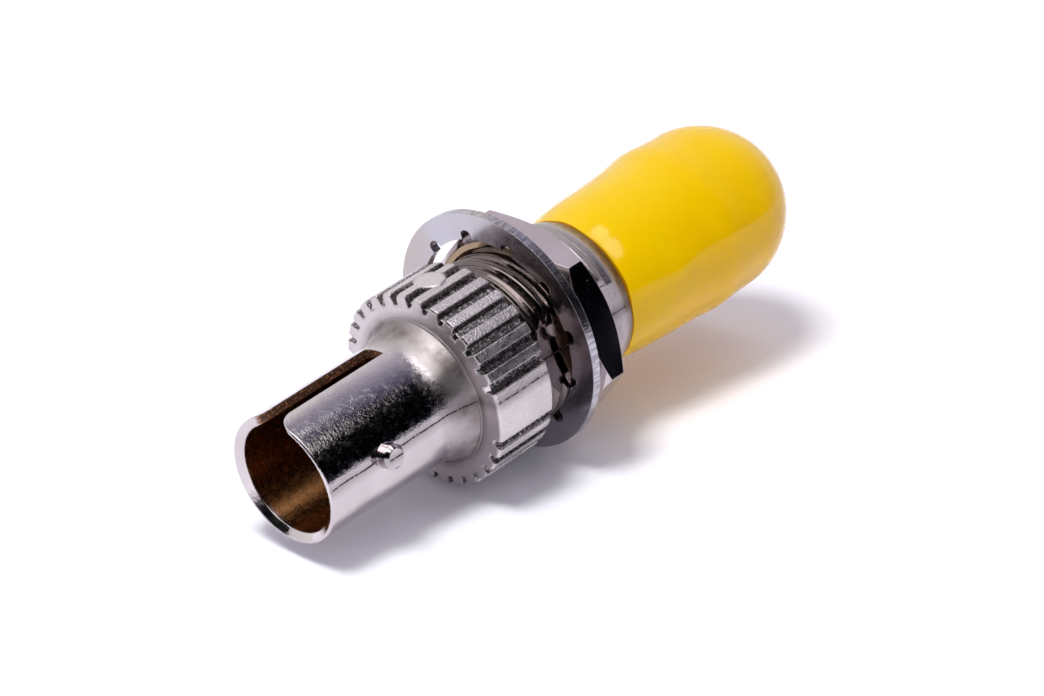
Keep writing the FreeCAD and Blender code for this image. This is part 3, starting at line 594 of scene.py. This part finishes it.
def cap_profile(sizes, lip, tip, belly, mouth):
    """The cap's outline as columns of x, radius and share of the outer skin. Inside, a cone runs from a
    flat floor to a straight bore. Half a turn makes the lip. From there the radius rises in a short flare
    and a slow swell to the belly, with a low ring over the barrel's mouth, and a quarter circle closes the
    end."""
    bore_steps, lip_steps, end_steps = 30, 15, 26
    lip_round, flare_run, ring_width = 0.1 * MM, 1.3 * MM, 1.1 * MM
    flare_curl = 1.5
    swell_start, swell_end = lip + 1.5 * MM, lip + 9.5 * MM
    skin_from, skin_full = 1.2, 2.8
    shoulder, floor = tip - belly, tip - sizes.cap_end
    wall = sizes.lip_radius - sizes.cap_bore
    inner_x = np.concatenate([[floor, floor], np.linspace(shoulder, lip + 2 * lip_round, bore_steps)])
    inner_r = np.concatenate([[0, sizes.cap_floor], np.full(bore_steps, sizes.cap_bore)])
    turn = np.linspace(0, math.pi, lip_steps)
    lip_x = lip + lip_round - lip_round * np.sin(turn)
    lip_r = sizes.cap_bore + wall / 2 - wall / 2 * np.cos(turn)
    skin_x = np.linspace(lip + 2 * lip_round, shoulder, CAP_STATIONS)
    skin_r = (sizes.lip_radius + sizes.flare * (1 - bump_of(skin_x - lip, flare_run, flare_curl))
              + (belly - sizes.lip_radius - sizes.flare) * smooth_step(skin_x, swell_start, swell_end)
              + sizes.ring * bump_of(skin_x - mouth, ring_width))
    quarter = np.linspace(0, math.pi / 2, end_steps)[1:]
    end_x = shoulder + belly * np.sin(quarter)
    end_r = belly * np.cos(quarter)
    end_r[-1] = 0
    x = np.concatenate([inner_x, lip_x, skin_x, end_x])
    radius = np.concatenate([inner_r, lip_r, skin_r, end_r])
    outer = np.concatenate([np.zeros(len(inner_x)), smooth_step(turn, skin_from, skin_full),
                            np.ones(len(skin_x)), smooth_step(end_r, 0, belly)])
    return x[:, None], radius[:, None], outer[:, None]


def cap_points(sizes):
    """The cap's outline turned about the axis. Two soft bumps, each a Gaussian in x and in z, lift the skin
    where the rear lugs push it out, and two steep-sided pockets inside hold the lugs. Slow waves in angle
    and x make the skin hand-dipped, and waves in angle leave the trimmed lip uneven."""
    bump_width, pocket_width, lip_width = 1.1 * MM, 0.8 * MM, 0.5 * MM
    steep = 6
    low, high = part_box("dust_cap")
    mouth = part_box("adapter_housing")[1].x
    x, radius, outer = cap_profile(sizes, low.x, high.x, (high.y - low.y) / 2, mouth)
    angles = round_axis(CAP_ANGLES)
    from_lug = x - (mouth - sizes.lug_inset)
    aside = radius * np.sin(angles)
    swollen = sizes.bulge * bump_of(from_lug, bump_width) * bump_of(aside, bump_width)
    pocket = (sizes.lug_reach - sizes.cap_bore) * (radius >= sizes.cap_bore)
    pocket = pocket * bump_of(from_lug, pocket_width, steep) * bump_of(aside, pocket_width, steep)
    wave = sum(height * np.sin(turns * angles + along * x) for height, turns, along in DIP_WAVES)
    radius = radius + outer * (swollen + wave) + (1 - outer) * pocket
    uneven = sum(height * (1 + np.sin(turns * angles + start)) for height, turns, start in LIP_WAVES)
    x = x + uneven * bump_of(x - low.x, lip_width)
    return np.stack([x, radius * np.cos(angles), radius * np.sin(angles)], axis=-1)


class ADAPTER_OT_housing(bpy.types.Operator):
    """Plate the die casting, wind the thread's ridges round its shank and flare its collar"""

    bl_idname = "adapter.housing"
    bl_label = "Housing, thread and collar"

    def execute(self, context):
        plate = cast_nickel(context.scene.adapter_finishes)
        dress("adapter_housing", plate)
        sizes = context.scene.adapter_sizes
        skins = {"shank_thread": thread_points(sizes), "collar_flare": collar_points(sizes)}
        for name, points in skins.items():
            skin = grid_object(name, points, True, close_rows=True)
            skin.data.materials.append(plate)
            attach(skin, "housing")
        return {"FINISHED"}


class ADAPTER_OT_sleeve(bpy.types.Operator):
    """Finish the alignment sleeve and the tube that holds it"""

    bl_idname = "adapter.sleeve"
    bl_label = "Sleeve and retainer"

    def execute(self, context):
        finish = context.scene.adapter_finishes
        dress("split_sleeve", drawn_bronze(finish))
        tube = turned_nickel("nickel plate on turned brass tube", finish.nickel, finish.nut_warm_shade)
        dress("sleeve_retainer", tube)
        return {"FINISHED"}


class ADAPTER_OT_fasteners(bpy.types.Operator):
    """Plate the lock washer and the nut"""

    bl_idname = "adapter.fasteners"
    bl_label = "Washer and nut"

    def execute(self, context):
        finish = context.scene.adapter_finishes
        dress("lock_washer", stamped_zinc(finish))
        dress("hex_nut", turned_nickel("nickel plate on turned brass nut", finish.nut, finish.nut_warm_shade))
        return {"FINISHED"}


class ADAPTER_OT_cap(bpy.types.Operator):
    """Make the soft cap, stretched over the rear lugs"""

    bl_idname = "adapter.cap"
    bl_label = "Dust cap"

    def execute(self, context):
        cap = grid_object("vinyl_cap", cap_points(context.scene.adapter_sizes), True)
        cap.data.materials.append(dipped_vinyl(context.scene.adapter_finishes))
        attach(cap, "cap")
        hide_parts("dust_cap")
        return {"FINISHED"}


def plane_normal(roll, pitch):
    """The upward normal of a plane that is rolled about the adapter's axis and pitched toward its front."""
    return Vector((math.sin(pitch), -math.sin(roll) * math.cos(pitch), math.cos(roll) * math.cos(pitch)))


def stage_axes(stage):
    """Directions on the stage: right, up and back for the camera, the floor's normal, and for the rig of
    lamps and flag its zenith, its level line to the right and its level line to the camera's side."""
    back = (Vector(stage.spot) - Vector(stage.aim)).normalized()
    right = Vector(stage.upright).cross(back).normalized()
    zenith = plane_normal(stage.roll, stage.rig)
    level = (right - zenith * right.dot(zenith)).normalized()
    return SimpleNamespace(right=right, up=back.cross(right), back=back,
                           normal=plane_normal(stage.roll, stage.pitch),
                           zenith=zenith, level=level, near=level.cross(zenith))


def placed(spot, right, up, back):
    """Matrix of an object that stands at a spot, its own axes pointing right, up and back."""
    return Matrix.Translation(spot) @ Matrix((right, up, back)).transposed().to_4x4()


def stand_camera(scene, stage, axes):
    """Stand the camera at its spot, looking at the aim."""
    view = bpy.data.cameras.new("camera")
    view.sensor_width = SENSOR_MM
    view.lens = SENSOR_MM * stage.focal
    view.clip_start = 0.01
    view.clip_end = 10
    camera = bpy.data.objects.new("camera", view)
    camera.matrix_world = placed(Vector(stage.spot), axes.right, axes.up, axes.back)
    scene.collection.objects.link(camera)
    scene.camera = camera


def straight_look(tree):
    """1 where the camera sees a surface straight, in a mirror or through glass, and 0 for light it sheds."""
    path = add(tree, "ShaderNodeLightPath")
    seen = path["Is Camera Ray"]
    for ray in ("Is Glossy Ray", "Is Transmission Ray"):
        seen = add(tree, "ShaderNodeMath", {0: seen, 1: path[ray]}, operation="MAXIMUM")[0]
    return seen


def white_paper(stage):
    """Matt white paper with a tooth of about 0.6 mm, which glows a little so that the camera sees white."""
    paper, tree = new_material("white paper sweep")
    spot = add(tree, "ShaderNodeTexCoord")["Object"]
    tooth = add(tree, "ShaderNodeTexNoise", {"Vector": spot, "Scale": per(0.6)})[0]
    bump = add(tree, "ShaderNodeBump", {"Strength": 0.2, "Distance": 0.005 * MM, "Height": tooth})[0]
    # The glow grows with the distance from the adapter, so that its shadow stays dark.
    apart = add(tree, "ShaderNodeVectorMath", {0: spot, 1: stage.aim}, operation="DISTANCE")["Value"]
    glow = add(tree, "ShaderNodeMapRange", {0: apart, 1: 12 * MM, 2: 40 * MM, 3: stage.near_lift,
                                            4: stage.lift})[0]
    glow = add(tree, "ShaderNodeMath", {0: straight_look(tree), 1: glow}, operation="MULTIPLY")[0]
    shader = add(tree, "ShaderNodeBsdfPrincipled", {
        "Base Color": stage.floor, "Roughness": 0.85, "Normal": bump, "Emission Color": WHITE,
        "Emission Strength": glow})[0]
    add(tree, "ShaderNodeOutputMaterial", {"Surface": shader})
    return paper


def lay_floor(stage, axes):
    """Lay a flat sheet under the adapter's lowest point. The adapter leans on its flange and washer, so the
    sheet is tilted in the adapter's frame."""
    half, count = 0.6, 5
    depths = []
    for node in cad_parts.values():
        corners = np.empty(3 * len(node.data.vertices), np.float32)
        node.data.vertices.foreach_get("co", corners)
        depths.append((corners.reshape(-1, 3) @ np.array(axes.normal)).min())
    turn = np.array(axes.normal.to_track_quat("Z", "Y").to_matrix())
    across = np.linspace(-half, half, count)
    flat = np.stack([*np.meshgrid(across, across, indexing="ij"), np.full((count, count), min(depths))],
                    axis=-1)
    floor = grid_object("studio_floor", flat @ turn.T, False)
    floor.data.materials.append(white_paper(stage))


def flag_points(stage, axes):
    """Part of a sphere about the aim, on bearings from the right by way of the camera's side and on heights
    between two edges, all in degrees. The lower edge climbs at one end of the bearings, and the upper edge
    drops toward the other."""
    columns, rows = 55, 17
    first, last = -105, 165
    low_edge, climb, climb_from, climb_to = 2, 38, -25, -70
    high_edge, drop, drop_from, drop_to = 74, 26, -10, 25
    bearing = np.linspace(first, last, columns)[:, None]
    lowest = low_edge + climb * smooth_step(-bearing, -climb_from, -climb_to)
    highest = high_edge - drop * smooth_step(bearing, drop_from, drop_to)
    rise = np.radians(lowest + (highest - lowest) * np.linspace(0, 1, rows)[None, :])[..., None]
    sweep = np.radians(bearing)[..., None]
    outward = np.cos(sweep) * np.array(axes.level) + np.sin(sweep) * np.array(axes.near)
    return np.array(stage.aim) + stage.flag_reach * (np.cos(rise) * outward
                                                     + np.sin(rise) * np.array(axes.zenith))


def black_felt(stage, axes):
    """Felt that is black on the camera's side and greyer at its far end, where the light of the room reaches
    it. Its lower edge fades into the pale floor over about 4 degrees."""
    felt, tree = new_material("black felt flag")
    reach = stage.flag_reach
    aim_height = Vector(stage.aim).dot(axes.zenith)
    spot = add(tree, "ShaderNodeTexCoord")["Object"]
    away = add(tree, "ShaderNodeVectorMath", {0: spot, 1: axes.near}, operation="DOT_PRODUCT")["Value"]
    glow = add(tree, "ShaderNodeMapRange", {0: away, 1: 0.02 * reach, 2: -0.65 * reach, 3: 0.002,
                                            4: 0.88})[0]
    height = add(tree, "ShaderNodeVectorMath", {0: spot, 1: axes.zenith}, operation="DOT_PRODUCT")["Value"]
    foot = add(tree, "ShaderNodeMapRange", {0: height, 1: aim_height + 0.1 * reach,
                                            2: aim_height + 0.02 * reach})[0]
    foot = add(tree, "ShaderNodeMath", {0: foot, 1: 2.5}, operation="POWER")[0]
    glow = add(tree, "ShaderNodeMath", {0: glow, 1: foot}, operation="MAXIMUM")[0]
    tint = add(tree, "ShaderNodeMix", {"Factor": glow, 6: stage.flag_cool, 7: stage.flag_pale},
               data_type="RGBA")[2]
    shader = add(tree, "ShaderNodeEmission", {"Color": tint, "Strength": glow})[0]
    add(tree, "ShaderNodeOutputMaterial", {"Surface": shader})
    return felt


def hang_flag(stage, axes):
    """Hang a dark flag that gives the plate its black bands and is seen in reflections alone."""
    flag = grid_object("dark_flag", flag_points(stage, axes), False)
    flag.data.materials.append(black_felt(stage, axes))
    flag.visible_camera = False
    flag.visible_diffuse = False
    flag.visible_shadow = False
    flag.visible_transmission = False


def soft_lamp(name, watts, shape, size, toward, along, distance, aim):
    """A soft lamp of a given shape that looks at the aim from a direction and a distance, its first side
    lying along a given direction."""
    lamp = bpy.data.lights.new(name, "AREA")
    lamp.shape = shape
    lamp.size, lamp.size_y = size
    lamp.energy = watts
    made = bpy.data.objects.new(name, lamp)
    back = toward.normalized()
    up = back.cross(along).normalized()
    made.matrix_world = placed(aim + back * distance, up.cross(back), up, back)
    bpy.context.scene.collection.objects.link(made)
    return made


def direction(up, axes, shares):
    """The sum of given shares of an upward direction, of level right and of level to the camera's side."""
    return up * shares[0] + axes.level * shares[1] + axes.near * shares[2]


def hang_lamps(stage, axes):
    """Hang a softbox that is wide in the mirror of the plate, its bright middle, which lights what is matt
    and casts the shadow, and a long window that glints on the cap."""
    aim = Vector(stage.aim)
    softbox = soft_lamp("softbox", stage.key, "RECTANGLE", (stage.key_side, stage.key_side),
                        direction(axes.zenith, axes, OVERHEAD), axes.level, stage.lamp_distance, aim)
    softbox.visible_diffuse = False
    middle = soft_lamp("softbox_middle", stage.beam, "RECTANGLE", (stage.beam_side, stage.beam_side),
                       direction(axes.normal, axes, STEEP), axes.level, stage.lamp_distance, aim)
    middle.visible_glossy = False
    soft_lamp("window", stage.spark, "ELLIPSE", (stage.window_long, stage.window_wide),
              direction(axes.zenith, axes, BESIDE), direction(axes.zenith, axes, WINDOW_WAY),
              stage.window_distance, aim)


def light_sky(scene, stage):
    """A sky that is white to the camera and in mirrors, and a dimmer cool fill on what is matt."""
    world = bpy.data.worlds.new("studio")
    world.use_nodes = True
    tree = world.node_tree
    tree.nodes.clear()
    seen = straight_look(tree)
    strength = add(tree, "ShaderNodeMapRange", {0: seen, 3: stage.fill, 4: 1.0})[0]
    tint = add(tree, "ShaderNodeMix", {"Factor": seen, 6: stage.shade, 7: WHITE}, data_type="RGBA")[2]
    light = add(tree, "ShaderNodeBackground", {"Color": tint, "Strength": strength})[0]
    add(tree, "ShaderNodeOutputWorld", {"Surface": light})
    scene.world = world


class ADAPTER_OT_stage(bpy.types.Operator):
    """Stand the camera, lay the floor, hang the dark flag and set the lamps and the sky"""

    bl_idname = "adapter.stage"
    bl_label = "Stage"

    def execute(self, context):
        scene = context.scene
        stage = scene.adapter_stage
        axes = stage_axes(stage)
        stand_camera(scene, stage, axes)
        lay_floor(stage, axes)
        hang_flag(stage, axes)
        hang_lamps(stage, axes)
        light_sky(scene, stage)
        scene.view_settings.view_transform = "Standard"
        return {"FINISHED"}


OPERATORS = (ADAPTER_OT_housing, ADAPTER_OT_sleeve, ADAPTER_OT_fasteners, ADAPTER_OT_cap, ADAPTER_OT_stage)


class ADAPTER_PT_looks(bpy.types.Panel):
    """Sizes, finishes and build steps of the adapter's looks"""

    bl_idname = "ADAPTER_PT_looks"
    bl_label = "Fibre adapter"
    bl_space_type = "VIEW_3D"
    bl_region_type = "UI"
    bl_category = "Adapter"

    def draw(self, context):
        scene = context.scene
        for group in (scene.adapter_sizes, scene.adapter_finishes, scene.adapter_stage):
            box = self.layout.box()
            for name in group.bl_rna.properties.keys():
                if name not in {"rna_type", "name"}:
                    box.prop(group, name)
        for operator in OPERATORS:
            self.layout.operator(operator.bl_idname)


CLASSES = (AdapterSizes, AdapterFinishes, AdapterStage, *OPERATORS, ADAPTER_PT_looks)


def register():
    for kind in CLASSES:
        bpy.utils.register_class(kind)
    bpy.types.Scene.adapter_sizes = PointerProperty(type=AdapterSizes)
    bpy.types.Scene.adapter_finishes = PointerProperty(type=AdapterFinishes)
    bpy.types.Scene.adapter_stage = PointerProperty(type=AdapterStage)


def unregister():
    del bpy.types.Scene.adapter_stage
    del bpy.types.Scene.adapter_finishes
    del bpy.types.Scene.adapter_sizes
    for kind in reversed(CLASSES):
        bpy.utils.unregister_class(kind)


def main():
    register()
    bpy.ops.adapter.housing()
    bpy.ops.adapter.sleeve()
    bpy.ops.adapter.fasteners()
    bpy.ops.adapter.cap()
    bpy.ops.adapter.stage()


if __name__ == "__main__":
    main()
